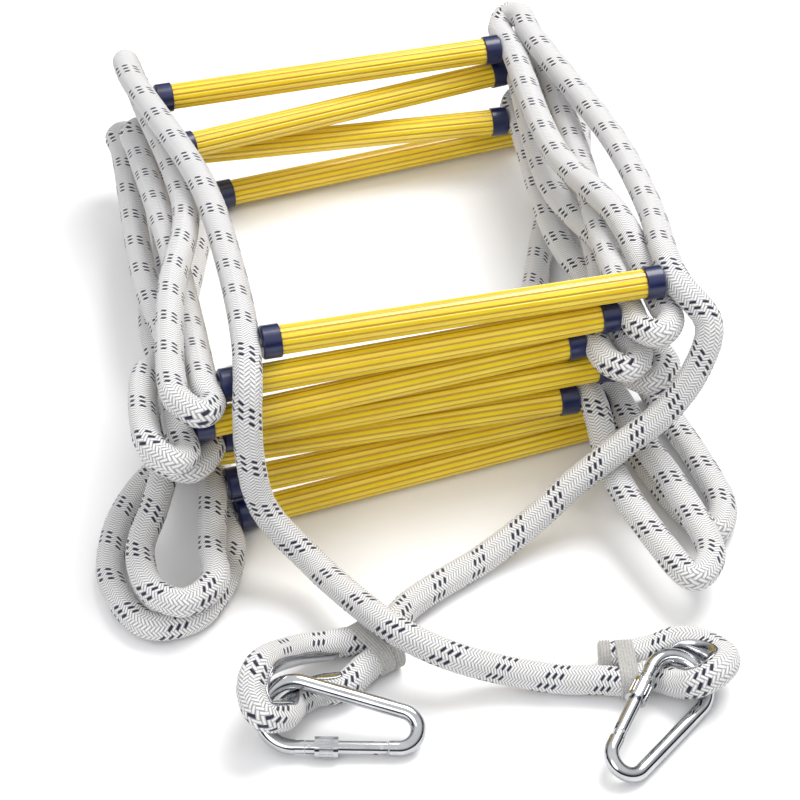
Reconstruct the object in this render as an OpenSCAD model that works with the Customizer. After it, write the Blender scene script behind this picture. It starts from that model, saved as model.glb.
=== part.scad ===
// Folded escape rope ladder: two side ropes, eleven capped rungs, and a
// screw-lock carabiner in the eye at the top end of each rope.
// Units are mm, +Z is up and the floor is at z = 0.

/* [Rungs] */
// Length of a rung over its two end caps
rung_len = 280; // [260:1:300]
// Outside diameter of the fluted rung tube
tube_d = 20; // [18:0.5:21]
// Bore of the rung tube
tube_bore_d = 15; // [10:0.5:16]
// Outside diameter of the end caps
cap_d = 23; // [21:0.5:23]
// Length of an end cap
cap_len = 13; // [8:1:20]
// Thickness of the end wall of a cap
cap_wall = 3; // [2:0.5:5]
// Diameter of the cord that ties a rung to the ropes
inner_cord_d = 6; // [4:0.5:8]
// Number of flutes around a rung tube
flutes = 14; // [8:1:20]

/* [Ropes] */
// Diameter of the side ropes
rope_d = 20; // [17:0.5:20]
// Length of the cap on each cut rope end
end_cap_len = 8; // [6:1:10]
// Width of the seizing that closes a rope eye
seizing_len = 12; // [8:1:20]

/* [Carabiners] */
// Diameter of the carabiner bar
bar_d = 10; // [8:0.5:10]
// Diameter of the gate
gate_d = 9; // [7:0.5:9]
// Outside diameter of the lock sleeve
sleeve_d = 14; // [12:0.5:14]
// Length of the lock sleeve
sleeve_len = 15; // [10:1:18]

/* [Hidden] */

rope_r = rope_d / 2;
rope_sides = 8;
// Moves the middle of the footprint to the origin
origin_shift = [-7, -39, 0];

// Rungs from the top of the ladder down: x, y, z, yaw, and the way the ropes
// run past the rung (1 to the back, -1 to the front)
rungs = [
    [13, -6, 152, -2, 1],
    [20, 378, 100, -1, -1],
    [-18, -10, 129, 0, 1],
    [28, 364, 74, 7, -1],
    [-40, -12, 106, 3, 1],
    [20, 364, 48, -6, -1],
    [-18, -8, 83, 0, 1],
    [60, 371, 12.5, 4, -1],
    [-44, -2, 60, -3, -1],
    [-16, 0, 36, 2, 1],
    [-12, 0, 12, 5, -1]
];

// Fold before a rung: outward and upward step of the arriving strand, and how
// far the turn stands out past the rung
left_folds = [
    [], [8, 24, 28], [22, 10, 24], [22, 8, 24], [22, 10, 30],
    [20, 10, 24], [38, 4, 20], [22, 4, 24], []
];
right_folds = [
    [], [16, 10, 34], [22, 2, 24], [22, 6, 24], [22, 0, 32],
    [22, 6, 24], [24, 3, 22], [22, 8, 24], []
];

// Strand after a rung: x and z near the front pile, then x and z at mid run
left_runs = [
    [-124, 140, -120, 136], [-168, 131, -134, 118], [-158, 111, -150, 101],
    [-177, 91, -148, 80], [-168, 71, -168, 64], [-178, 51, -149, 44],
    [-168, 32, -167, 30], [-181, 12, -146, 12]
];
right_runs = [
    [182, 138, 194, 122], [160, 131, 150, 116], [150, 111, 172, 98],
    [160, 91, 150, 80], [150, 71, 172, 62], [160, 51, 150, 45],
    [152, 32, 172, 28], [98, 24, 140, 12]
];
near_share = 0.27;
mid_share = 0.55;

// Points a rope takes just before and just after single rungs
left_before = [[], [], [], [], [[-201, 32, 113]], [], [], [], []];
left_after = [
    [], [], [], [], [[-183, 30, 93]], [], [[-168, 18, 84]], [], []
];
right_before = [[], [], [], [], [], [], [], [], []];
right_after = [[], [], [], [], [], [], [], [[205, 352, 12]], []];

// Eyes, from the cut end round the thimble to the throat
left_eye = [
    [46, -210, 11], [64, -214, 12], [82, -215, 14], [99, -217, 19],
    [114, -230, 21], [118, -247, 25], [108, -258, 27], [95, -259, 22],
    [87, -251, 15], [79, -240, 11], [70, -234, 11], [60, -237, 11],
    [40, -230, 11]
];
right_eye = [
    [-81, -167, 11], [-101, -175, 11], [-124, -190, 11], [-142, -191, 13],
    [-158, -201, 16], [-170, -217, 25], [-184, -221, 35], [-187, -208, 42],
    [-180, -193, 47], [-150, -163, 26], [-122, -153, 14], [-100, -151, 12],
    [-78, -143, 12]
];

// Leads from the throats to the first rung, the left one over the right one
left_lead = [
    [15, -222, 11], [-19, -209, 16], [-54, -199, 30], [-81, -177, 37],
    [-100, -136, 33], [-117, -90, 30], [-142, -60, 58], [-148, -50, 95],
    [-147, -42, 126], [-143, -30, 146]
];
right_lead = [
    [-60, -128, 10], [-10, -104, 10], [34, -88, 22], [72, -76, 42],
    [110, -68, 62], [142, -62, 80], [164, -56, 106], [176, -44, 134]
];

// Forward loop after the ninth rung, turn behind the tenth, and tail
left_front_loop = [
    [-210, -24, 46], [-227, -54, 36], [-226, -88, 31], [-209, -104, 30],
    [-186, -92, 30], [-178, -56, 31]
];
right_front_loop = [
    [104, -66, 38], [112, -130, 31], [124, -174, 30], [142, -158, 30],
    [143, -90, 31], [136, -36, 34]
];
left_back_turn = [
    [-155, 46, 36], [-130, 96, 35], [-122, 120, 23], [-126, 96, 11],
    [-152, 46, 11]
];
right_back_turn = [
    [130, 46, 33], [129, 84, 34], [129, 102, 22], [129, 84, 11],
    [132, 46, 11]
];
left_tail = [
    [-162, -42, 11], [-179, -78, 10], [-203, -101, 10], [-232, -99, 10],
    [-247, -54, 10], [-236, -6, 10], [-213, 32, 10], [-186, 58, 10]
];
right_tail = [
    [142, -46, 10], [150, -92, 10], [162, -116, 10], [176, -96, 10],
    [178, -46, 10], [175, 0, 10], [174, 42, 10]
];

function unit(v) = v / norm(v);

// Middle of the rope beside the end of rung i; s is -1 left, 1 right
function rung_end(i, s) =
    [rungs[i][0], rungs[i][1], rungs[i][2]]
    + s * (rung_len / 2 + rope_r) * [cos(rungs[i][3]), sin(rungs[i][3]), 0];

function fold_turn(e, q, d, over, w) = [
    q,
    q + [0, -d * (over - w / 2), 0],
    (e + q) / 2 + [0, -d * (over + 0.45 * w), 0],
    e + [0, -d * (over - w / 2), 0]
];

function fold_points(i, s, f) =
    len(f) == 0 ? [] :
    fold_turn(rung_end(i, s), rung_end(i, s) + [s * f[0], 0, f[1]],
        rungs[i][4], f[2], norm([f[0], f[1]]) / 2);

function run_pair(front, back, m) = [
    [m[0], front[1] + near_share * (back[1] - front[1]), m[1]],
    [m[2], front[1] + mid_share * (back[1] - front[1]), m[3]]
];

function run_points(i, s, runs) =
    i > 7 ? [] :
    i % 2 == 0 ? run_pair(rung_end(i, s), rung_end(i + 1, s), runs[i]) :
    let (m = run_pair(rung_end(i + 1, s), rung_end(i, s), runs[i]))
    [m[1], m[0]];

function bundle(s, folds, runs, before, after) = [
    for (i = [0:8])
        for (p = concat(before[i], fold_points(i, s, folds[i]),
            [rung_end(i, s)], after[i], run_points(i, s, runs))) p
];

left_path = concat(
    left_eye, left_lead,
    bundle(-1, left_folds, left_runs, left_before, left_after),
    left_front_loop, [rung_end(9, -1)], left_back_turn,
    [rung_end(10, -1)], left_tail
);
right_path = concat(
    right_eye, right_lead,
    bundle(1, right_folds, right_runs, right_before, right_after),
    right_front_loop, [rung_end(9, 1)], right_back_turn,
    [rung_end(10, 1)], right_tail
);

// One point of a centripetal curve between b and c
function blend(a, b, ta, tb, t) = ((tb - t) * a + (t - ta) * b) / (tb - ta);
function curve_point(a, b, c, d, u) =
    let (
        t1 = sqrt(norm(b - a)),
        t2 = t1 + sqrt(norm(c - b)),
        t3 = t2 + sqrt(norm(d - c)),
        t = t1 + (t2 - t1) * u,
        ab = blend(a, b, 0, t1, t),
        bc = blend(b, c, t1, t2, t),
        cd = blend(c, d, t2, t3, t)
    )
    blend(blend(ab, bc, 0, t2, t), blend(bc, cd, t1, t3, t), t1, t2, t);

function before_first(p) = 2 * p[0] - p[1];
function after_last(p) = 2 * p[len(p) - 1] - p[len(p) - 2];

// Curve through the points, with extra ones inside spans longer than limit
function smooth(p, limit) = let (n = len(p)) concat([
    for (i = [0:n - 2])
        let (
            a = i == 0 ? before_first(p) : p[i - 1],
            d = i == n - 2 ? after_last(p) : p[i + 2],
            cuts = ceil(norm(p[i + 1] - p[i]) / limit)
        )
        for (k = [0:cuts - 1])
            k == 0 ? p[i] : curve_point(a, p[i], p[i + 1], d, k / cuts)
], [p[n - 1]]);

function headings(p) = let (n = len(p)) [
    for (i = [0:n - 1])
        i == 0 ? unit(p[1] - p[0]) :
        i == n - 1 ? unit(p[i] - p[i - 1]) :
        unit(unit(p[i] - p[i - 1]) + unit(p[i + 1] - p[i]))
];

// Side direction carried along the headings without twisting
function carry(t, u, i) =
    i == len(t) ? [] :
    let (v = unit(u - (u * t[i]) * t[i])) concat([v], carry(t, v, i + 1));

// Skin over rings of equal size, closed at both ends
function skin_faces(rings, sides) = concat(
    [[for (k = [0:sides - 1]) k]],
    [for (i = [0:rings - 2]) for (k = [0:sides - 1]) for (half = [0, 1])
        let (
            a = i * sides + k,
            b = i * sides + (k + 1) % sides
        )
        half == 0 ? [a, a + sides, b + sides] : [a, b + sides, b]],
    [[for (k = [0:sides - 1]) rings * sides - 1 - k]]
);

module tube_along(path, radius, sides, start) {
    t = headings(path);
    u = carry(t, start, 0);
    rings = [
        for (i = [0:len(path) - 1]) for (k = [0:sides - 1])
            let (a = 360 * k / sides)
            path[i] + radius * (cos(a) * u[i] + sin(a) * cross(t[i], u[i]))
    ];
    polyhedron(points = rings, faces = skin_faces(len(path), sides),
        convexity = 10);
}

module place_rung(i) {
    translate(origin_shift)
        translate([rungs[i][0], rungs[i][1], rungs[i][2]])
            rotate([0, 0, rungs[i][3]]) children();
}

// Fluted tube between the end walls of the caps
module rung_tube(i) {
    tube_len = rung_len - 2 * cap_wall;
    flute_r = 1.4;
    color([0.95, 0.80, 0.12])
    place_rung(i)
        rotate([0, 90, 0])
            difference() {
                cylinder(h = tube_len, d = tube_d, center = true, $fn = 64);
                cylinder(h = tube_len + 2, d = tube_bore_d, center = true,
                    $fn = 48);
                for (k = [0:flutes - 1])
                    rotate([0, 0, 360 * k / flutes])
                        translate([tube_d / 2 + 0.8, 0, 0])
                            cylinder(h = tube_len + 2, r = flute_r,
                                center = true, $fn = 24);
            }
}

module rung_cap() {
    edge = 1;
    rotate_extrude($fn = 64)
        polygon([
            [inner_cord_d / 2, 0],
            [cap_d / 2 - edge, 0],
            [cap_d / 2, edge],
            [cap_d / 2, cap_len - edge / 2],
            [cap_d / 2 - edge / 2, cap_len],
            [tube_d / 2, cap_len],
            [tube_d / 2, cap_wall],
            [inner_cord_d / 2, cap_wall]
        ]);
}

module rung_caps(i) {
    color([0.05, 0.07, 0.12])
    place_rung(i)
        for (s = [0, 180])
            rotate([0, 0, s])
                translate([-rung_len / 2, 0, 0])
                    rotate([0, 90, 0]) rung_cap();
}

// Cord through the tube and both caps into the side ropes
module rung_cord(i) {
    reach = 3;
    color([0.88, 0.88, 0.84])
    place_rung(i)
        rotate([0, 90, 0])
            cylinder(h = rung_len + 2 * reach, d = inner_cord_d,
                center = true, $fn = 32);
}

module rope(path) {
    ring_gap = 90;
    lowest = rope_r + 0.6;
    laid = [
        for (p = smooth(path, ring_gap)) [p[0], p[1], max(p[2], lowest)]
    ];
    color([0.92, 0.92, 0.89])
    translate(origin_shift)
        tube_along(laid, rope_r, rope_sides, [0, 0, 1]);
}

module end_cap(tip, inward) {
    wall = 0.8;
    translate(tip)
        multmatrix(frame_matrix([0, 0, 0], unit(inward), [0, 0, 1]))
            rotate([0, 90, 0])
                difference() {
                    translate([0, 0, -1.5])
                        cylinder(h = end_cap_len, r = rope_r + wall,
                            $fn = 48);
                    cylinder(h = end_cap_len, r = rope_r, $fn = 48);
                }
}

module rope_end_caps(path) {
    n = len(path);
    color([0.86, 0.86, 0.83])
    translate(origin_shift) {
        end_cap(path[0], path[1] - path[0]);
        end_cap(path[n - 1], path[n - 2] - path[n - 1]);
    }
}

// Matrix whose X runs along x_dir and whose Y leans to y_dir
function frame_matrix(o, x_dir, y_dir) =
    let (
        x = unit(x_dir),
        y = unit(y_dir - (y_dir * x) * x),
        z = cross(x, y)
    )
    [
        [x[0], y[0], z[0], o[0]],
        [x[1], y[1], z[1], o[1]],
        [x[2], y[2], z[2], o[2]],
        [0, 0, 0, 1]
    ];

// Band round the two legs of an eye where they meet at the throat
module eye_seizing(leg_a, leg_b, along) {
    gap = norm(leg_b - leg_a) / 2;
    inner = rope_r + 0.05;
    wall = 0.9;
    color([0.85, 0.85, 0.82])
    translate(origin_shift)
        multmatrix(frame_matrix((leg_a + leg_b) / 2, along, leg_b - leg_a))
            rotate([90, 0, 90])
                linear_extrude(height = seizing_len, center = true)
                    difference() {
                        band_outline(gap, inner + wall);
                        band_outline(gap, inner);
                    }
}

module band_outline(gap, r) {
    for (s = [-1, 1])
        translate([s * gap, 0]) circle(r = r, $fn = 48);
    square([2 * gap, 2 * r], center = true);
}

// Curved steel shell on the inner side of an eye
module thimble(eye, centre) {
    shell = 0.7;
    half_wrap = 72;
    steps = 6;
    path = smooth([for (i = [2:10]) eye[i]], 14);
    t = headings(path);
    sides = 2 * steps + 2;
    rings = [
        for (i = [0:len(path) - 1])
            let (
                w = centre - path[i],
                u = unit(w - (w * t[i]) * t[i]),
                v = cross(t[i], u)
            )
            for (k = [0:sides - 1])
                let (
                    outer = k <= steps,
                    j = outer ? k : sides - 1 - k,
                    a = -half_wrap + 2 * half_wrap * j / steps,
                    r = rope_r + (outer ? shell : 0)
                )
                path[i] + r * (cos(a) * u + sin(a) * v)
    ];
    color([0.72, 0.73, 0.75])
    translate(origin_shift)
        polyhedron(points = rings, faces = skin_faces(len(path), sides),
            convexity = 10);
}

// Carabiner plan: x from the narrow end, y from the gate line to the spine
bar_r = bar_d / 2;
narrow_c = [17, 12];
narrow_r = 12;
wide_c = [84, 21];
wide_r = 21;
spread = 2 * atan2(wide_r - narrow_r, wide_c[0] - narrow_c[0]);
spine_len = sqrt(pow(norm(wide_c - narrow_c), 2)
    - pow(wide_r - narrow_r, 2));
hinge_x = 28;
shoulder_x = 77;
latch_x = 74;
bore_end_x = 60;
nose_end_x = 83;

left_hook_at = [14.5, -305, 15.5];
left_hook_x = [0.65, 0.75, 0.13];
left_hook_y = [0.70, -0.52, -0.49];
right_hook_at = [-85.5, -251.7, 6];
right_hook_x = [-0.961, 0.276, 0.02];
right_hook_y = [0.23, 0.80, 0.56];

module place_hook(side) {
    translate(origin_shift)
        multmatrix(side < 0 ?
            frame_matrix(left_hook_at, left_hook_x, left_hook_y) :
            frame_matrix(right_hook_at, right_hook_x, right_hook_y))
            children();
}

module along_x(from, to, r) {
    translate([from, 0, 0])
        rotate([0, 90, 0]) cylinder(h = to - from, r = r, $fn = 48);
}

module cross_pin(x, r, half) {
    translate([x, 0, 0])
        cylinder(h = 2 * half, r = r, center = true, $fn = 32);
}

module bar_arc(c, r, from, angle) {
    lap = 0.1;
    translate([c[0], c[1], 0])
        rotate([0, 0, from - lap])
            rotate_extrude(angle = angle + 2 * lap, $fn = 96)
                translate([r, 0]) circle(r = bar_r, $fn = 48);
}

module carabiner_frame(side) {
    hinge_face = hinge_x - 5;
    color([0.70, 0.71, 0.73])
    place_hook(side)
        difference() {
            union() {
                bar_arc(wide_c, wide_r, -90, 180 + spread);
                bar_arc(narrow_c, narrow_r, 90 + spread, 180 - spread);
                translate([narrow_c[0] - narrow_r * sin(spread),
                    narrow_c[1] + narrow_r * cos(spread), 0])
                    rotate([0, 0, spread]) along_x(0, spine_len, bar_r);
                along_x(narrow_c[0], hinge_face, bar_r);
                along_x(nose_end_x, wide_c[0], bar_r);
                along_x(shoulder_x, nose_end_x, gate_d / 2);
                translate([hinge_face - 1, -4, -2])
                    cube([hinge_x - hinge_face + 1, 8, 4]);
                cross_pin(hinge_x, 4, 2);
                translate([shoulder_x - 5.5, -3.6, -1.5])
                    cube([6.5, 7.2, 3]);
            }
            cross_pin(hinge_x, 1.55, 3);
            translate([latch_x - 1.6, -1.6, -2]) cube([3.2, 6, 4]);
        }
}

module carabiner_gate(side) {
    r = gate_d / 2;
    color([0.76, 0.77, 0.79])
    place_hook(side)
        difference() {
            union() {
                along_x(hinge_x, shoulder_x - 0.5, r);
                intersection() {
                    along_x(hinge_x - r, hinge_x + 1, r);
                    cross_pin(hinge_x, r, r);
                }
            }
            translate([hinge_x - 6, -6, -2.3]) cube([11, 12, 4.6]);
            translate([shoulder_x - 6.5, -6, -1.8]) cube([8, 12, 3.6]);
            along_x(hinge_x + 4, bore_end_x, 2.6);
            cross_pin(hinge_x, 1.5, 6);
            cross_pin(latch_x, 1.25, 6);
        }
}

module hinge_pin(side) {
    color([0.60, 0.61, 0.63])
    place_hook(side) cross_pin(hinge_x, 1.5, 4.2);
}

module latch_pin(side) {
    color([0.60, 0.61, 0.63])
    place_hook(side) cross_pin(latch_x, 1.25, 4.2);
}

module gate_plunger(side) {
    color([0.66, 0.60, 0.42])
    place_hook(side)
        union() {
            along_x(hinge_x + 4.3, hinge_x + 7, 1.6);
            along_x(hinge_x + 6, hinge_x + 14, 2.4);
        }
}

module gate_spring(side) {
    turns = 7;
    per_turn = 10;
    wire = 0.35;
    coil_r = 1.95;
    from = hinge_x + 14 + wire;
    to = bore_end_x - wire;
    count = turns * per_turn;
    path = [
        for (i = [0:count])
            let (a = 360 * i / per_turn)
            [from + (to - from) * i / count, coil_r * cos(a),
                coil_r * sin(a)]
    ];
    color([0.55, 0.56, 0.58])
    place_hook(side) tube_along(path, wire, 6, [1, 0, 0]);
}

module lock_sleeve(side) {
    r = sleeve_d / 2;
    to = shoulder_x - 6.5;
    from = to - sleeve_len;
    grooves = 18;
    color([0.78, 0.79, 0.81])
    place_hook(side)
        difference() {
            along_x(from, to, r);
            along_x(from - 1, to + 1, gate_d / 2 + 0.3);
            for (k = [0:grooves - 1])
                rotate([360 * k / grooves, 0, 0])
                    translate([0, r + 0.5, 0])
                        along_x(from + 3, to - 3, 0.9);
        }
}

left_band_a = [56, -236.1, 11];
left_band_b = [61, -213.5, 11.5];
right_band_a = [-101, -151, 12];
right_band_b = [-94, -172, 11];

rung_tube(0);  // rung_tube_01
rung_tube(1);  // rung_tube_02
rung_tube(2);  // rung_tube_03
rung_tube(3);  // rung_tube_04
rung_tube(4);  // rung_tube_05
rung_tube(5);  // rung_tube_06
rung_tube(6);  // rung_tube_07
rung_tube(7);  // rung_tube_08
rung_tube(8);  // rung_tube_09
rung_tube(9);  // rung_tube_10
rung_tube(10);  // rung_tube_11
rung_caps(0);  // rung_caps_01
rung_caps(1);  // rung_caps_02
rung_caps(2);  // rung_caps_03
rung_caps(3);  // rung_caps_04
rung_caps(4);  // rung_caps_05
rung_caps(5);  // rung_caps_06
rung_caps(6);  // rung_caps_07
rung_caps(7);  // rung_caps_08
rung_caps(8);  // rung_caps_09
rung_caps(9);  // rung_caps_10
rung_caps(10);  // rung_caps_11
rung_cord(0);  // rung_cord_01
rung_cord(1);  // rung_cord_02
rung_cord(2);  // rung_cord_03
rung_cord(3);  // rung_cord_04
rung_cord(4);  // rung_cord_05
rung_cord(5);  // rung_cord_06
rung_cord(6);  // rung_cord_07
rung_cord(7);  // rung_cord_08
rung_cord(8);  // rung_cord_09
rung_cord(9);  // rung_cord_10
rung_cord(10);  // rung_cord_11
rope(left_path);  // left_rope
rope(right_path);  // right_rope
rope_end_caps(left_path);  // left_rope_end_caps
rope_end_caps(right_path);  // right_rope_end_caps
eye_seizing(left_band_a, left_band_b, [0.98, -0.2, 0]);  // left_eye_seizing
eye_seizing(right_band_a, right_band_b, [0.93, 0.37, 0]);  // right_eye_seizing
thimble(left_eye, [98, -238, 19]);  // left_thimble
thimble(right_eye, [-158, -186, 26]);  // right_thimble
carabiner_frame(-1);  // left_carabiner_frame
carabiner_gate(-1);  // left_carabiner_gate
hinge_pin(-1);  // left_hinge_pin
latch_pin(-1);  // left_latch_pin
gate_spring(-1);  // left_gate_spring
gate_plunger(-1);  // left_gate_plunger
lock_sleeve(-1);  // left_lock_sleeve
carabiner_frame(1);  // right_carabiner_frame
carabiner_gate(1);  // right_carabiner_gate
hinge_pin(1);  // right_hinge_pin
latch_pin(1);  // right_latch_pin
gate_spring(1);  // right_gate_spring
gate_plunger(1);  // right_gate_plunger
lock_sleeve(1);  // right_lock_sleeve
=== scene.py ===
"""Escape rope ladder folded in a pile: ropes, fittings, materials, light and camera.

Lengths are metres and angles degrees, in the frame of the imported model.
"""

import math

import bpy
import numpy as np
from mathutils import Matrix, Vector


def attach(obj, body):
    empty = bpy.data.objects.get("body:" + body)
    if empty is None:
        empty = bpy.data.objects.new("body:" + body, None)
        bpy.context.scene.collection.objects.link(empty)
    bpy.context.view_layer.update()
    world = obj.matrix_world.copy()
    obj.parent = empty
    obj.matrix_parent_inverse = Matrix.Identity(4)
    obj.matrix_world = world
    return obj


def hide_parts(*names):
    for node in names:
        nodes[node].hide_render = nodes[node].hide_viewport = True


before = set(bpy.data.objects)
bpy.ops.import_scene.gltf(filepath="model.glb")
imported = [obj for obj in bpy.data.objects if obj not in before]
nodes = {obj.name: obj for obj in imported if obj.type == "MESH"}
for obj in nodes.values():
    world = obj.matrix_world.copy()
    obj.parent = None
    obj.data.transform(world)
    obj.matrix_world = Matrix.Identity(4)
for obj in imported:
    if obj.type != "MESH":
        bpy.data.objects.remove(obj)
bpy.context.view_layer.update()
scene = bpy.context.scene

# ---------------------------------------------------------------- camera

CAMERA_TARGET = Vector((-0.031, -0.017, 0.060))
CAMERA_AZIMUTH = -16
CAMERA_ELEVATION = 40
CAMERA_DISTANCE = 1.9
CAMERA_LENS = 121.95


def add_camera():
    azimuth, elevation = map(math.radians, (CAMERA_AZIMUTH, CAMERA_ELEVATION))
    back = Vector((
        math.sin(azimuth) * math.cos(elevation),
        -math.cos(azimuth) * math.cos(elevation),
        math.sin(elevation),
    ))
    camera = bpy.data.objects.new("camera", bpy.data.cameras.new("camera"))
    camera.data.lens = CAMERA_LENS
    camera.data.sensor_width = 36
    camera.location = CAMERA_TARGET + CAMERA_DISTANCE * back
    camera.rotation_euler = (-back).to_track_quat("-Z", "Y").to_euler()
    scene.collection.objects.link(camera)
    scene.camera = camera


add_camera()

# ---------------------------------------------------------------- rope routes

ORIGIN_SHIFT = np.array([-0.007, -0.039, 0])
RUNG_LEN = 0.280
FLUTES = 14
ROPE_R = 0.010
LOWEST_LINE = 0.0106  # centre line of a rope lying on the floor
CURVE_STEPS = 30  # steps in each span of a curve
FOLD_SWELL = 0.45  # how far a fold's turn stands out, in half gaps of its strands

# From the top of the ladder down: x, y, z, yaw, and the way the ropes run past
# the rung (1 to the back, -1 to the front)
RUNGS = [
    [0.013, -0.006, 0.152, -2, 1], [0.020, 0.378, 0.100, -1, -1],
    [-0.018, -0.010, 0.129, 0, 1], [0.028, 0.364, 0.074, 7, -1],
    [-0.040, -0.012, 0.106, 3, 1], [0.020, 0.364, 0.048, -6, -1],
    [-0.018, -0.008, 0.083, 0, 1], [0.060, 0.371, 0.0125, 4, -1],
    [-0.044, -0.002, 0.060, -3, -1], [-0.016, 0, 0.036, 2, 1],
    [-0.012, 0, 0.012, 5, -1],
]

# Fold before a rung: outward and upward step of the arriving strand, and how
# far the turn stands out past the rung
LEFT_FOLDS = [
    [], [0.008, 0.024, 0.028], [0.022, 0.01, 0.024], [0.022, 0.008, 0.024],
    [0.022, 0.01, 0.03], [0.02, 0.01, 0.024], [0.038, 0.004, 0.02],
    [0.022, 0.004, 0.024], [],
]
RIGHT_FOLDS = [
    [], [0.016, 0.01, 0.034], [0.022, 0.002, 0.024], [0.022, 0.006, 0.024],
    [0.022, 0.0, 0.032], [0.022, 0.006, 0.024], [0.024, 0.003, 0.022],
    [0.022, 0.008, 0.024], [],
]

# Strand after a rung: x and z near the front pile, then x and z at mid run
LEFT_RUNS = [
    [-0.124, 0.14, -0.12, 0.136], [-0.168, 0.131, -0.134, 0.118],
    [-0.158, 0.111, -0.15, 0.101], [-0.177, 0.091, -0.148, 0.08],
    [-0.168, 0.071, -0.168, 0.064], [-0.178, 0.051, -0.149, 0.044],
    [-0.168, 0.032, -0.167, 0.03], [-0.181, 0.012, -0.146, 0.012],
]
RIGHT_RUNS = [
    [0.182, 0.138, 0.194, 0.122], [0.16, 0.131, 0.15, 0.116],
    [0.15, 0.111, 0.172, 0.098], [0.16, 0.091, 0.15, 0.08],
    [0.15, 0.071, 0.172, 0.062], [0.16, 0.051, 0.15, 0.045],
    [0.152, 0.032, 0.172, 0.028], [0.098, 0.024, 0.14, 0.012],
]
NEAR_SHARE = 0.27
MID_SHARE = 0.55

# Points a rope takes just before and just after single rungs
LEFT_BEFORE = [
    [], [], [], [], [[-0.201, 0.032, 0.113]], [], [], [], [],
]
LEFT_AFTER = [
    [], [], [], [], [[-0.183, 0.03, 0.093]], [], [[-0.168, 0.018, 0.084]], [], [],
]
RIGHT_BEFORE = [[]] * 9
RIGHT_AFTER = [[]] * 7 + [[[0.205, 0.352, 0.012]], []]

# Eyes, from the rope's end round the thimble to the throat
LEFT_EYE = [
    [0.046, -0.21, 0.011], [0.064, -0.214, 0.012], [0.082, -0.215, 0.014],
    [0.099, -0.217, 0.019], [0.114, -0.23, 0.021], [0.118, -0.247, 0.025],
    [0.108, -0.258, 0.027], [0.095, -0.259, 0.022], [0.087, -0.251, 0.015],
    [0.079, -0.24, 0.011], [0.07, -0.234, 0.011], [0.06, -0.237, 0.011],
    [0.04, -0.23, 0.011],
]
RIGHT_EYE = [
    [-0.081, -0.167, 0.011], [-0.101, -0.175, 0.011], [-0.124, -0.19, 0.011],
    [-0.142, -0.191, 0.013], [-0.158, -0.201, 0.016], [-0.17, -0.217, 0.025],
    [-0.184, -0.221, 0.035], [-0.187, -0.208, 0.042], [-0.18, -0.193, 0.047],
    [-0.15, -0.163, 0.026], [-0.122, -0.153, 0.014], [-0.1, -0.151, 0.012],
    [-0.078, -0.143, 0.012],
]

# Leads from the throats to the first rung
LEFT_LEAD = [
    [0.015, -0.222, 0.011], [-0.019, -0.209, 0.016], [-0.054, -0.199, 0.03],
    [-0.081, -0.177, 0.037], [-0.1, -0.136, 0.033], [-0.117, -0.09, 0.03],
    [-0.142, -0.06, 0.058], [-0.148, -0.05, 0.095], [-0.147, -0.042, 0.126],
    [-0.143, -0.03, 0.146],
]
RIGHT_LEAD = [
    [-0.06, -0.128, 0.01], [-0.01, -0.104, 0.01], [0.034, -0.088, 0.022],
    [0.072, -0.076, 0.042], [0.11, -0.068, 0.062], [0.142, -0.062, 0.08],
    [0.164, -0.056, 0.106], [0.176, -0.044, 0.134],
]

# Forward loop after the ninth rung, turn behind the tenth, and tail
LEFT_FRONT_LOOP = [
    [-0.21, -0.024, 0.046], [-0.227, -0.054, 0.036], [-0.226, -0.088, 0.031],
    [-0.209, -0.104, 0.03], [-0.186, -0.092, 0.03], [-0.178, -0.056, 0.031],
]
RIGHT_FRONT_LOOP = [
    [0.104, -0.066, 0.038], [0.112, -0.13, 0.031], [0.124, -0.174, 0.03],
    [0.142, -0.158, 0.03], [0.143, -0.09, 0.031], [0.136, -0.036, 0.034],
]
LEFT_BACK_TURN = [
    [-0.155, 0.046, 0.036], [-0.13, 0.096, 0.035], [-0.122, 0.12, 0.023],
    [-0.126, 0.096, 0.011], [-0.152, 0.046, 0.011],
]
RIGHT_BACK_TURN = [
    [0.13, 0.046, 0.033], [0.129, 0.084, 0.034], [0.129, 0.102, 0.022],
    [0.129, 0.084, 0.011], [0.132, 0.046, 0.011],
]
LEFT_TAIL = [
    [-0.162, -0.042, 0.011], [-0.179, -0.078, 0.01], [-0.203, -0.101, 0.01],
    [-0.232, -0.099, 0.01], [-0.247, -0.054, 0.01], [-0.236, -0.006, 0.01],
    [-0.213, 0.032, 0.01], [-0.186, 0.058, 0.01],
]
RIGHT_TAIL = [
    [0.142, -0.046, 0.01], [0.15, -0.092, 0.01], [0.162, -0.116, 0.01],
    [0.176, -0.096, 0.01], [0.178, -0.046, 0.01], [0.175, 0.0, 0.01],
    [0.174, 0.042, 0.01],
]


def rung_end(i, side):
    """Middle of the rope beside the end of rung i; side is -1 left, 1 right."""
    x, y, z, yaw, _ = RUNGS[i]
    reach = side * (RUNG_LEN / 2 + ROPE_R)
    yaw = math.radians(yaw)
    return np.array([x + reach * math.cos(yaw), y + reach * math.sin(yaw), z])


def fold_points(i, side, fold):
    """The strand arriving at rung i and its turn back to the rung, if it folds there."""
    if not fold:
        return []
    out, up, over = fold
    half_gap = math.hypot(out, up) / 2
    leaving = rung_end(i, side)
    arriving = leaving + (side * out, 0, up)
    ahead = np.array([0, -RUNGS[i][4], 0])
    return [
        arriving,
        arriving + (over - half_gap / 2) * ahead,
        (arriving + leaving) / 2 + (over + FOLD_SWELL * half_gap) * ahead,
        leaving + (over - half_gap / 2) * ahead,
    ]


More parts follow.
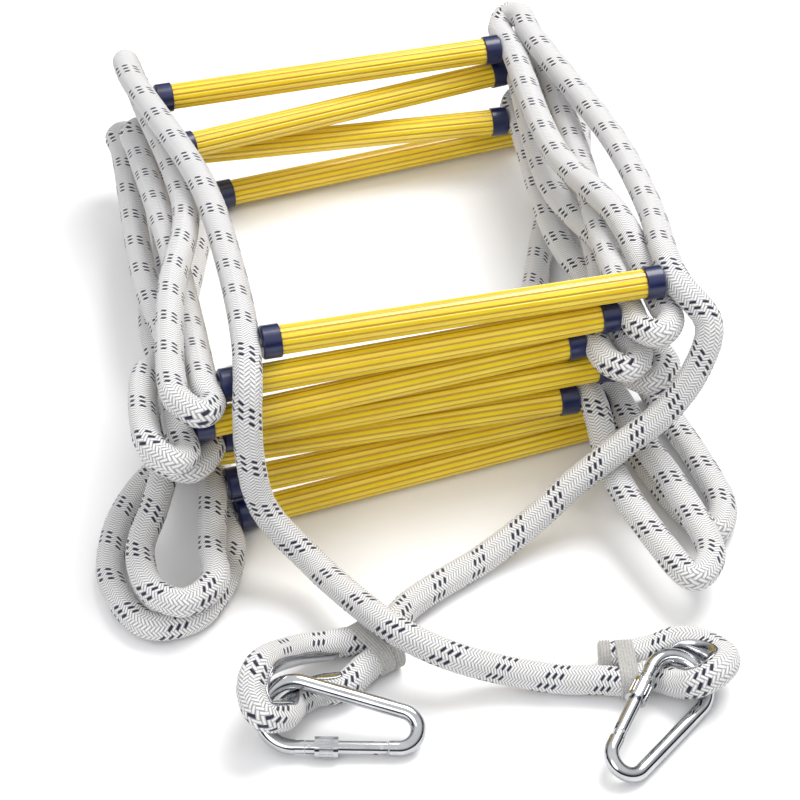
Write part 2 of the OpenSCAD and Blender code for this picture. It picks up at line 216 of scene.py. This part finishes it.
def run_points(i, side, runs):
    """Two points of the strand on its way from rung i to the next."""
    if i >= len(runs):
        return []
    front, back = sorted((rung_end(i, side)[1], rung_end(i + 1, side)[1]))
    near_x, near_z, mid_x, mid_z = runs[i]
    points = [
        np.array([near_x, front + NEAR_SHARE * (back - front), near_z]),
        np.array([mid_x, front + MID_SHARE * (back - front), mid_z]),
    ]
    return points if i % 2 == 0 else points[::-1]


def route(side, eye, lead, folds, runs, before, after, loop, turn, tail):
    """One rope's points, from its end at the eye down to the end of its tail."""
    points = [*eye, *lead]
    for i in range(len(folds)):
        points += before[i] + fold_points(i, side, folds[i])
        points += [rung_end(i, side)] + after[i] + run_points(i, side, runs)
    points += [*loop, rung_end(9, side), *turn, rung_end(10, side), *tail]
    return np.array([ORIGIN_SHIFT + p for p in points])


def curve_through(points, per_span):
    """Centripetal curve through the points, with per_span steps in each span."""
    ends = 2 * points[0] - points[1], 2 * points[-1] - points[-2]
    p = np.vstack([ends[0], points, ends[1]])
    u = np.linspace(0, 1, per_span, endpoint=False)[:, None]
    spans = []
    for a, b, c, d in zip(p, p[1:], p[2:], p[3:]):
        knots = np.sqrt([np.linalg.norm(v) for v in (b - a, c - b, d - c)])
        t1, t2, t3 = np.cumsum(knots)
        t = t1 + (t2 - t1) * u
        ab = ((t1 - t) * a + t * b) / t1
        bc = ((t2 - t) * b + (t - t1) * c) / (t2 - t1)
        cd = ((t3 - t) * c + (t - t2) * d) / (t3 - t2)
        abc = ((t2 - t) * ab + t * bc) / t2
        bcd = ((t3 - t) * bc + (t - t1) * cd) / (t3 - t1)
        spans.append(((t2 - t) * abc + (t - t1) * bcd) / (t2 - t1))
    return np.vstack([*spans, points[-1:]])


def evenly(line, step):
    """The line resampled at equal steps, and the step it came to."""
    along = np.concatenate([[0], np.cumsum(np.linalg.norm(np.diff(line, axis=0), axis=1))])
    count = round(along[-1] / step) + 1
    places = np.linspace(0, along[-1], count)
    return np.stack([np.interp(places, along, line[:, k]) for k in range(3)], 1), places


def rope_line(points, step):
    """A rope's centre line in equal steps, kept above the floor."""
    line, _ = evenly(curve_through(points, CURVE_STEPS), step)
    line[:, 2] = np.maximum(line[:, 2], LOWEST_LINE)
    return evenly(line, step)


def carried_sides(line, start):
    """Heading and two side directions at each point, carried without twisting."""
    heading = np.gradient(line, axis=0)
    heading /= np.linalg.norm(heading, axis=1)[:, None]
    side = np.empty_like(line)
    current = np.array(start, float)
    for i, t in enumerate(heading):
        current = current - (current @ t) * t
        current /= np.linalg.norm(current)
        side[i] = current
    return heading, side, np.cross(heading, side)


# ---------------------------------------------------------------- mesh helpers


def add_mesh(name, verts, faces, uvs=None):
    mesh = bpy.data.meshes.new(name)
    mesh.from_pydata(np.asarray(verts).tolist(), [], faces)
    if uvs is not None:
        mesh.uv_layers.new(name="weave").data.foreach_set("uv", np.ravel(uvs))
    mesh.polygons.foreach_set("use_smooth", [True] * len(mesh.polygons))
    mesh.update()
    piece = bpy.data.objects.new(name, mesh)
    scene.collection.objects.link(piece)
    return piece


def skin(rings, sides):
    """Quads over rings of equal size, in the order ring by ring."""
    i, k = np.meshgrid(np.arange(rings - 1), np.arange(sides), indexing="ij")
    following = (k + 1) % sides
    this_ring, next_ring = i * sides, (i + 1) * sides
    quads = [this_ring + k, this_ring + following, next_ring + following, next_ring + k]
    return np.stack(quads, -1).reshape(-1, 4)


def close_ends(rings, sides):
    """The flat faces over the first and the last ring."""
    last = (rings - 1) * sides
    return [list(range(sides))[::-1], list(range(last, last + sides))]


# ---------------------------------------------------------------- ropes

ROPE_STEP = 0.0018
ROPE_SIDES = 34
LAY_LENGTH = 0.036  # one strand's turn round the rope
STRANDS = 16  # strands each way, drawn by the material
TRACERS = (0, 2, 4)  # dark strands among those of the first set
RIDGE_POWER = 1.9  # how square a strand's back is
LUMPS = 8  # pairs of strands each way, raised in the mesh
LUMP_DEPTH = 0.0004


def add_rope(name, points):
    """A rope's mesh, its centre line and its length; the UVs carry the braid."""
    line, along = rope_line(points, ROPE_STEP)
    _, side, up = carried_sides(line, (0, 0, 1))
    turn = np.arange(ROPE_SIDES) / ROPE_SIDES
    angle = 2 * np.pi * turn
    lay = along[:, None] / LAY_LENGTH
    lump = np.cos(2 * np.pi * LUMPS * (turn + lay)) * np.cos(2 * np.pi * LUMPS * (turn - lay))
    radius = ROPE_R - LUMP_DEPTH * (0.5 - 0.5 * lump)
    spoke = (
        np.cos(angle)[None, :, None] * side[:, None] + np.sin(angle)[None, :, None] * up[:, None]
    )
    verts = (line[:, None] + radius[:, :, None] * spoke).reshape(-1, 3)
    quads = skin(len(line), ROPE_SIDES)
    ring, k = quads // ROPE_SIDES, quads % ROPE_SIDES
    wrapped = (k == 0) & (quads[:, [1, 0, 3, 2]] % ROPE_SIDES == ROPE_SIDES - 1)
    quad_uvs = np.stack([lay[ring, 0], turn[k] + wrapped], -1)
    caps = close_ends(len(line), ROPE_SIDES)
    cap_uvs = np.zeros((2 * ROPE_SIDES, 2))
    uvs = np.vstack([quad_uvs.reshape(-1, 2), cap_uvs])
    rope = add_mesh(name, verts, quads.tolist() + caps, uvs)
    return rope, line, along[-1]


left_points = route(
    -1, LEFT_EYE, LEFT_LEAD, LEFT_FOLDS, LEFT_RUNS, LEFT_BEFORE, LEFT_AFTER,
    LEFT_FRONT_LOOP, LEFT_BACK_TURN, LEFT_TAIL,
)
right_points = route(
    1, RIGHT_EYE, RIGHT_LEAD, RIGHT_FOLDS, RIGHT_RUNS, RIGHT_BEFORE, RIGHT_AFTER,
    RIGHT_FRONT_LOOP, RIGHT_BACK_TURN, RIGHT_TAIL,
)
left_rope, left_line, left_length = add_rope("left_braid", left_points)
right_rope, right_line, right_length = add_rope("right_braid", right_points)

# ---------------------------------------------------------------- rope fittings

WHIPPING_LEN = 0.0070
WHIPPING_START = -0.0014  # past the rope's cut end
WHIPPING_R = 0.0103
WHIPPING_DOME = 0.0008  # length of the rounded end
WHIPPING_REACH = 6  # steps of the rope's line that set a whipping's direction
THREAD_D = 0.0020
WOUND_STEPS = 72  # steps along a whipping or a seizing
SEIZING_LEN = 0.012
SEIZING_R = 0.01005
SEIZING_WALL = 0.0009
THIMBLE_WRAP = 72  # to each side of the middle
THIMBLE_SHELL = 0.0007
THIMBLE_STEP = 0.002
THIMBLE_SIDES = 17
THIMBLE_TAPER = 0.6  # how slowly it narrows to its ends
THIMBLE_TIP = 0.04  # share of the length left blunt at each end


def add_whippings(name, line):
    """A wound sleeve with a rounded end over each end of a rope."""
    sides = 48
    angle = 2 * np.pi * np.arange(sides) / sides
    threads = np.linspace(0, WHIPPING_LEN, WOUND_STEPS + 1)
    bulge = 0.5 * THREAD_D * np.abs(np.sin(np.pi * threads / THREAD_D))
    dome = [(0, 0.0004), (0, 0.0060), (0.0002, 0.0094)]  # distance in and radius
    profile = dome + [(x + WHIPPING_DOME, WHIPPING_R + b) for x, b in zip(threads, bulge)]
    profile += [(WHIPPING_LEN + 0.0009, ROPE_R - 0.0006)]  # tucked into the rope
    verts, faces = [], []
    reach = WHIPPING_REACH
    for tip, inner in ((line[0], line[reach]), (line[-1], line[-1 - reach])):
        axis = (inner - tip) / np.linalg.norm(inner - tip)
        side = np.cross(axis, (0, 0, 1))
        side /= np.linalg.norm(side)
        up = np.cross(axis, side)
        base = len(verts)
        for x, r in profile:
            centre = tip + (x + WHIPPING_START) * axis
            verts += [centre + r * (math.cos(a) * side + math.sin(a) * up) for a in angle]
        faces += (skin(len(profile), sides) + base).tolist()
        faces += [[base + k for k in ends] for ends in close_ends(len(profile), sides)]
    return add_mesh(name, verts, faces)


def add_seizing(name, leg_a, leg_b, along):
    """Thread wound round both legs of an eye, turn beside turn."""
    leg_a, leg_b = ORIGIN_SHIFT + leg_a, ORIGIN_SHIFT + leg_b
    x = np.array(along) / np.linalg.norm(along)
    y = (leg_b - leg_a) - ((leg_b - leg_a) @ x) * x
    gap = np.linalg.norm(y) / 2
    y /= 2 * gap
    z = np.cross(x, y)
    steps = 24
    left = np.pi / 2 + np.pi * np.arange(steps + 1) / steps
    right = left + np.pi
    angle = np.concatenate([left, right])
    centre_y = np.concatenate([np.full(steps + 1, -gap), np.full(steps + 1, gap)])
    out_y, out_z = np.cos(angle), np.sin(angle)
    turns = np.linspace(-SEIZING_LEN / 2, SEIZING_LEN / 2, WOUND_STEPS + 1)
    crest = np.abs(np.sin(np.pi * (turns + SEIZING_LEN / 2) / THREAD_D))
    wall = SEIZING_WALL * (0.15 + 0.85 * crest)
    profile = [(turns[0], 0.0)] + list(zip(turns, wall)) + [(turns[-1], 0.0)]
    middle = (leg_a + leg_b) / 2
    verts = []
    for offset, extra in profile:
        r = SEIZING_R + extra
        for cy, oy, oz in zip(centre_y, out_y, out_z):
            verts.append(middle + offset * x + (cy + r * oy) * y + r * oz * z)
    sides = len(angle)
    faces = skin(len(profile), sides).tolist()
    last = (len(profile) - 1) * sides
    faces += [[last + k, last + (k + 1) % sides, (k + 1) % sides, k] for k in range(sides)]
    return add_mesh(name, verts, faces)


def add_thimble(name, eye, centre):
    """Metal trough lining the inside of an eye."""
    lined = ORIGIN_SHIFT + np.array(eye[2:11])  # the points round the inside of the eye
    line, _ = evenly(curve_through(lined, CURVE_STEPS), THIMBLE_STEP)
    heading = np.gradient(line, axis=0)
    heading /= np.linalg.norm(heading, axis=1)[:, None]
    inward = ORIGIN_SHIFT + centre - line
    inward -= np.sum(inward * heading, 1)[:, None] * heading
    inward /= np.linalg.norm(inward, axis=1)[:, None]
    across = np.cross(heading, inward)
    share = np.clip(np.linspace(0, 1, len(line)), THIMBLE_TIP, 1 - THIMBLE_TIP)
    narrowing = np.sin(np.pi * share) ** THIMBLE_TAPER
    angle = np.radians(np.linspace(-THIMBLE_WRAP, THIMBLE_WRAP, THIMBLE_SIDES))
    outline = [(a, ROPE_R + THIMBLE_SHELL) for a in angle] + [(a, ROPE_R) for a in angle[::-1]]
    rings = []
    for a, r in outline:
        turned = (a * narrowing)[:, None]
        rings.append(line + r * (np.cos(turned) * inward + np.sin(turned) * across))
    verts = np.stack(rings, 1).reshape(-1, 3)
    faces = skin(len(line), len(outline)).tolist() + close_ends(len(line), len(outline))
    return add_mesh(name, verts, faces)


left_whippings = add_whippings("left_whippings", left_line)
right_whippings = add_whippings("right_whippings", right_line)
left_seizing = add_seizing(
    "left_thread_seizing", (0.056, -0.2361, 0.011), (0.061, -0.2135, 0.0115), (0.98, -0.2, 0)
)
right_seizing = add_seizing(
    "right_thread_seizing", (-0.101, -0.151, 0.012), (-0.094, -0.172, 0.011), (0.93, 0.37, 0)
)
left_thimble = add_thimble("left_eye_thimble", LEFT_EYE, (0.098, -0.238, 0.019))
right_thimble = add_thimble("right_eye_thimble", RIGHT_EYE, (-0.158, -0.186, 0.026))

LEFT_SET = left_rope, left_line, left_length, left_whippings, left_seizing, left_thimble
RIGHT_SET = right_rope, right_line, right_length, right_whippings, right_seizing, right_thimble
for side, rope_set in (("left", LEFT_SET), ("right", RIGHT_SET)):
    rope, line, length, whippings, seizing, thimble = rope_set
    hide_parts(side + "_rope")
    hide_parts(side + "_rope_end_caps")
    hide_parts(side + "_eye_seizing")
    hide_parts(side + "_thimble")
    slots = (rope, "rope"), (whippings, "rope_cap"), (seizing, "seizing"), (thimble, "steel")
    for piece, slot in slots:
        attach(piece, "ladder")

# ---------------------------------------------------------------- materials


def new_material(name, **shader_values):
    """A material and its shader, with constant values set on the shader itself."""
    material = bpy.data.materials.new(name)
    material.use_nodes = True
    shader = material.node_tree.nodes["Principled BSDF"]
    for socket, value in shader_values.items():
        shader.inputs[socket.replace("_", " ")].default_value = value
    return material, material.node_tree, shader


def add_node(tree, kind, values=None, **settings):
    made = tree.nodes.new("ShaderNode" + kind)
    for name, value in settings.items():
        setattr(made, name, value)
    for socket, value in (values or {}).items():
        if isinstance(value, bpy.types.NodeSocket):
            tree.links.new(value, made.inputs[socket])
        else:
            made.inputs[socket].default_value = value
    return made


def calc(tree, operation, *values):
    return add_node(tree, "Math", dict(enumerate(values)), operation=operation).outputs[0]


def place(tree, stretch=(1, 1, 1)):
    """Object coordinates, stretched by a factor along each axis."""
    coords = add_node(tree, "TexCoord").outputs["Object"]
    return add_node(tree, "Mapping", {"Vector": coords, "Scale": stretch}).outputs[0]


def noise(tree, vector, scale, detail=3.0):
    values = {"Vector": vector, "Scale": scale, "Detail": detail}
    return add_node(tree, "TexNoise", values).outputs["Fac"]


def ramp(tree, factor, low, high, start=0.0, end=1.0):
    made = add_node(tree, "ValToRGB", {"Fac": factor})
    for element, position, colour in zip(made.color_ramp.elements, (start, end), (low, high)):
        element.position = position
        element.color = (*colour, 1)
    return made.outputs["Color"]


def spread(tree, factor, low, high):
    """The factor 0..1 stretched to low..high."""
    values = {"Value": factor, "To Min": low, "To Max": high}
    return add_node(tree, "MapRange", values).outputs["Result"]


def mix(tree, factor, first, second):
    made = add_node(tree, "Mix", data_type="RGBA")
    for socket, value in (("Factor", factor), ("A", first), ("B", second)):
        kind = "VALUE" if socket == "Factor" else "RGBA"
        target = next(s for s in made.inputs if s.name == socket and s.type == kind)
        if isinstance(value, bpy.types.NodeSocket):
            tree.links.new(value, target)
        else:
            target.default_value = (*value, 1)
    return next(s for s in made.outputs if s.type == "RGBA")


def bump(tree, shader, height, distance, strength):
    values = {"Height": height, "Distance": distance, "Strength": strength}
    normal = add_node(tree, "Bump", values).outputs["Normal"]
    tree.links.new(normal, shader.inputs["Normal"])


def rope_material():
    """Braid of two sets of crossing strands, with dark tracer strands in one set and painted
    shade in the grooves between strands.
    """
    material, tree, shader = new_material(
        "rope_braid", Roughness=0.82, Sheen_Weight=0.25, Sheen_Roughness=0.5
    )
    uv = add_node(tree, "SeparateXYZ", {0: add_node(tree, "TexCoord").outputs["UV"]})
    turns, round_ = uv.outputs[0], uv.outputs[1]
    first = calc(tree, "MULTIPLY", calc(tree, "ADD", round_, turns), STRANDS)
    second = calc(tree, "MULTIPLY", calc(tree, "SUBTRACT", round_, turns), STRANDS)
    first_count, second_count = calc(tree, "FLOOR", first), calc(tree, "FLOOR", second)
    weave = calc(tree, "FLOORED_MODULO", calc(tree, "ADD", first_count, second_count), 4.0)
    first_on_top = calc(tree, "LESS_THAN", weave, 1.5)

    def ridge(strand):
        across = calc(tree, "MULTIPLY_ADD", calc(tree, "FRACT", strand), 2.0, -1.0)
        fall = calc(tree, "POWER", calc(tree, "ABSOLUTE", across), RIDGE_POWER)
        return calc(tree, "SUBTRACT", 1.0, fall)

    first_ridge, second_ridge = ridge(first), ridge(second)
    lift = calc(tree, "SUBTRACT", first_ridge, second_ridge)
    height = calc(tree, "MULTIPLY_ADD", lift, first_on_top, second_ridge)
    place_in_set = calc(tree, "FLOORED_MODULO", first_count, float(STRANDS))
    dark = 0.0
    for strand in TRACERS:
        dark = calc(tree, "ADD", dark, calc(tree, "COMPARE", place_in_set, float(strand), 0.5))
    dark = calc(tree, "MULTIPLY", calc(tree, "MULTIPLY", dark, first_on_top),
                calc(tree, "GREATER_THAN", first_ridge, 0.3))
    wear = noise(tree, place(tree), 45.0)
    # Painted shade: the colour falls to near black in the grooves where the strands' height
    # drops.
    yarn_with_groove_shade = mix(tree, spread(tree, height, 0.0, 1.0), (0.09, 0.09, 0.12), (0.88, 0.875, 0.865))
    yarn_with_groove_shade = mix(tree, spread(tree, wear, 0.0, 0.25), yarn_with_groove_shade, (0.74, 0.72, 0.70))
    colour = mix(tree, dark, yarn_with_groove_shade, (0.008, 0.010, 0.035))
    tree.links.new(colour, shader.inputs["Base Color"])
    fibres = noise(tree, place(tree), 2200.0, 2.0)
    bump(tree, shader, calc(tree, "MULTIPLY_ADD", fibres, 0.25, height), 0.0005, 0.8)
    return material


def thread_material():
    """Waxed thread of the whippings and seizings."""
    material, tree, shader = new_material(
        "thread", Roughness=0.8, Sheen_Weight=0.3, Sheen_Roughness=0.5
    )
    fibres = noise(tree, place(tree), 1400.0)
    tree.links.new(ramp(tree, fibres, (0.28, 0.27, 0.26), (0.55, 0.54, 0.52), 0.3, 0.65),
                   shader.inputs["Base Color"])
    bump(tree, shader, fibres, 0.0002, 0.6)
    return material


def tube_material(number, rung):
    """Glossy yellow fluted plastic, with painted shade in the flutes and faint streaks."""
    x, y, z, yaw, _ = rung
    material, tree, shader = new_material(
        f"yellow_tube_{number:02d}", Coat_Weight=0.6, Coat_Roughness=0.08, IOR=1.5
    )
    own = add_node(tree, "Mapping", {
        "Vector": add_node(tree, "TexCoord").outputs["Object"],
        "Location": ORIGIN_SHIFT + (x, y, z),
        "Rotation": (0, 0, math.radians(yaw)),
    }, vector_type="TEXTURE").outputs[0]
    axes = add_node(tree, "SeparateXYZ", {0: own})
    down = calc(tree, "MULTIPLY", axes.outputs[2], -1.0)
    angle = calc(tree, "ARCTAN2", axes.outputs[1], down)
    flute_shade = calc(tree, "COSINE", calc(tree, "MULTIPLY", angle, float(FLUTES)))
    drawn_out = add_node(tree, "Mapping", {"Vector": own, "Scale": (5, 420, 420)}).outputs[0]
    streaks = noise(tree, drawn_out, 1.0)
    cloud = noise(tree, own, 22.0)
    shade = calc(tree, "MULTIPLY_ADD", streaks, 0.5, calc(tree, "MULTIPLY", cloud, 0.5))
    plastic = ramp(tree, shade, (0.80, 0.55, 0.010), (0.93, 0.73, 0.035), 0.3, 0.7)
    # Painted shade: dark brown mixed in along the flutes.
    colour = mix(tree, spread(tree, calc(tree, "MAXIMUM", flute_shade, 0.0), 0.0, 0.75),
                 plastic, (0.40, 0.17, 0.003))
    tree.links.new(colour, shader.inputs["Base Color"])
    tree.links.new(spread(tree, streaks, 0.18, 0.34), shader.inputs["Roughness"])
    bump(tree, shader, streaks, 0.00006, 0.4)
    return material


def cap_material():
    """Dark navy moulded rubber with a fine grain."""
    material, tree, shader = new_material("rubber_cap", Coat_Weight=0.35, Coat_Roughness=0.12)
    grain = noise(tree, place(tree), 900.0, 4.0)
    cloud = noise(tree, place(tree), 60.0)
    tree.links.new(ramp(tree, cloud, (0.003, 0.006, 0.040), (0.007, 0.015, 0.085), 0.3, 0.7),
                   shader.inputs["Base Color"])
    tree.links.new(spread(tree, cloud, 0.24, 0.38), shader.inputs["Roughness"])
    bump(tree, shader, grain, 0.00012, 0.35)
    return material


def metal_material(name, dark, light, smooth, rough, scratches=0.25):
    """Metal with cloudy polish and fine scratches."""
    material, tree, shader = new_material(name, Metallic=1.0)
    cloud = noise(tree, place(tree), 70.0)
    scratch = noise(tree, place(tree, (90, 2400, 900)), 1.0, 2.0)
    tree.links.new(ramp(tree, cloud, dark, light, 0.3, 0.7), shader.inputs["Base Color"])
    haze = calc(tree, "MULTIPLY_ADD", scratch, 0.35, calc(tree, "MULTIPLY", cloud, 0.65))
    tree.links.new(spread(tree, haze, smooth, rough), shader.inputs["Roughness"])
    bump(tree, shader, scratch, 0.00003, scratches)
    return material


def cord_material():
    """Fibrous white cord."""
    material, tree, shader = new_material("white_cord", Roughness=0.85, Sheen_Weight=0.2)
    fibres = noise(tree, place(tree, (500, 900, 900)), 1.0)
    tree.links.new(ramp(tree, fibres, (0.48, 0.47, 0.44), (0.80, 0.79, 0.75), 0.3, 0.7),
                   shader.inputs["Base Color"])
    bump(tree, shader, fibres, 0.0003, 0.7)
    return material


braid = rope_material()
thread = thread_material()
polished = metal_material("polished_steel", (0.44, 0.45, 0.47), (0.58, 0.59, 0.61), 0.05, 0.15)
for rope in (left_rope, right_rope):
    rope.data.materials.append(braid)
for piece in (left_whippings, right_whippings, left_seizing, right_seizing):
    piece.data.materials.append(thread)
lining = metal_material(
    "thimble_steel", (0.44, 0.45, 0.47), (0.58, 0.59, 0.61), 0.10, 0.22, scratches=0.04
)
for piece in (left_thimble, right_thimble):
    piece.data.materials.append(lining)

steel = metal_material("plain_steel", (0.40, 0.41, 0.43), (0.55, 0.56, 0.58), 0.28, 0.42)
wire = metal_material("spring_wire", (0.36, 0.36, 0.38), (0.52, 0.52, 0.54), 0.25, 0.38)
brass = metal_material("turned_brass", (0.52, 0.38, 0.14), (0.66, 0.50, 0.22), 0.22, 0.36)
CAD_LOOKS = {
    "rung_caps": cap_material(),
    "rung_cord": cord_material(),
    "carabiner_frame": polished,
    "carabiner_gate": polished,
    "lock_sleeve": polished,
    "hinge_pin": steel,
    "latch_pin": steel,
    "gate_spring": wire,
    "gate_plunger": brass,
}
for number, rung in enumerate(RUNGS, 1):
    CAD_LOOKS[f"rung_tube_{number:02d}"] = tube_material(number, rung)
for name, part in nodes.items():
    for key, look in CAD_LOOKS.items():
        if key in name:
            for material_slot in part.material_slots:
                material_slot.material = look

# ---------------------------------------------------------------- floor and light

FLOOR_HALF = 20
FLOOR_Z = -0.0005


def add_floor():
    half = FLOOR_HALF
    square = ((-half, -half), (half, -half), (half, half), (-half, half))
    corners = [(x, y, FLOOR_Z) for x, y in square]
    floor = add_mesh("floor", corners, [(0, 1, 2, 3)])
    material, tree, shader = new_material("floor_paint", Roughness=0.9)
    soft = noise(tree, place(tree), 0.7)
    paint = ramp(tree, soft, (0.92, 0.92, 0.925), (0.94, 0.94, 0.945))
    tree.links.new(paint, shader.inputs["Base Color"])
    floor.data.materials.append(material)


def add_area_light(name, position, size, power, colour):
    lamp = bpy.data.lights.new(name, "AREA")
    lamp.shape, lamp.size, lamp.energy, lamp.color = "DISK", size, power, colour
    light = bpy.data.objects.new(name, lamp)
    light.location = position
    light.rotation_euler = (Vector(position) - CAMERA_TARGET).to_track_quat("Z", "Y").to_euler()
    scene.collection.objects.link(light)


def add_sky():
    """Bright overhead, darker low down, so that polished metal has something to show."""
    world = bpy.data.worlds.new("studio")
    world.use_nodes = True
    tree = world.node_tree
    upward = add_node(tree, "SeparateXYZ", {0: add_node(tree, "TexCoord").outputs["Generated"]})
    sky = ramp(tree, upward.outputs[2], (0.02, 0.02, 0.025), (1, 1, 1), 0.28, 0.70)
    tree.links.new(sky, tree.nodes["Background"].inputs["Color"])
    tree.nodes["Background"].inputs["Strength"].default_value = 1.0
    scene.world = world


add_floor()
add_area_light("key", (1.0, 0.6, 2.3), 1.6, 52, (1, 0.99, 0.98))
add_area_light("fill", (-1.6, -1.9, 1.8), 2.0, 26, (0.97, 0.98, 1))
add_sky()
scene.view_settings.view_transform = "Standard"
